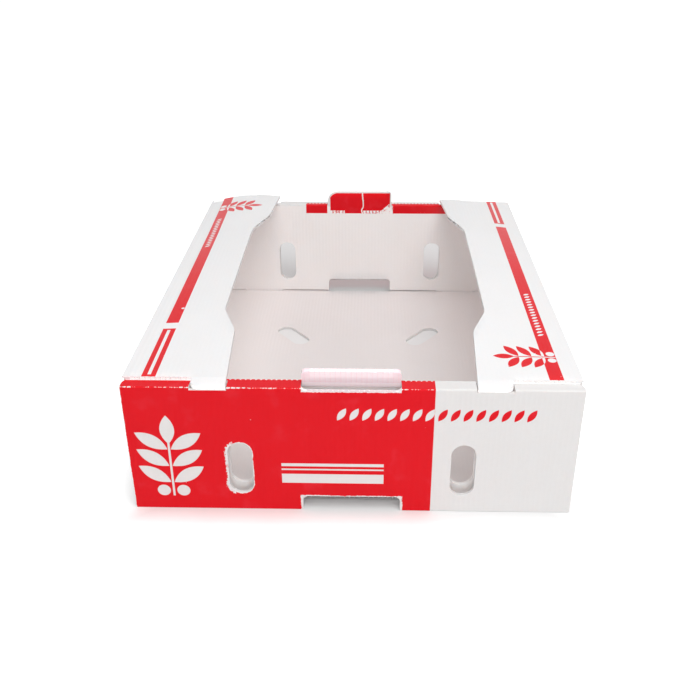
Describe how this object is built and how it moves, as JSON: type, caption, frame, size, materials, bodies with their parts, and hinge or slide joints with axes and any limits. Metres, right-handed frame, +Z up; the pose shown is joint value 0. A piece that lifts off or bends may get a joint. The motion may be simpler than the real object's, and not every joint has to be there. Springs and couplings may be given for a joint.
{
  "type": "corrugated plastic produce box",
  "caption": "Shallow open produce box folded from fluted plastic sheet, with doubled end walls, vents, stacking tabs and notches, and fold-over top flaps along its sides.",
  "frame": {"origin": "centre of the floor's underside, on the surface that the box stands on", "axes": "+Z up, +Y along the length from the front end to the rear end, +X to the right seen from the front end"},
  "size_m": [0.4, 0.5, 0.149],
  "materials": {
    "sheet": "satin fluted sheet, white, with red print on the ends",
    "flap_sheet": "satin fluted sheet, white, with red stripes"
  },
  "bodies": {
    "tray": {"tray": "sheet"},
    "left_flap": {"left_flap": "flap_sheet"},
    "right_flap": {"right_flap": "flap_sheet"}
  },
  "joints": [
    {"name": "left_flap_fold", "type": "hinge", "parent": "tray", "child": "left_flap", "pos_m": [-0.199, 0, 0.1327], "axis": [0, -1, 0], "range_deg": [0, 180]},
    {"name": "right_flap_fold", "type": "hinge", "parent": "tray", "child": "right_flap", "pos_m": [0.199, 0, 0.1327], "axis": [0, 1, 0], "range_deg": [0, 180]}
  ]
}
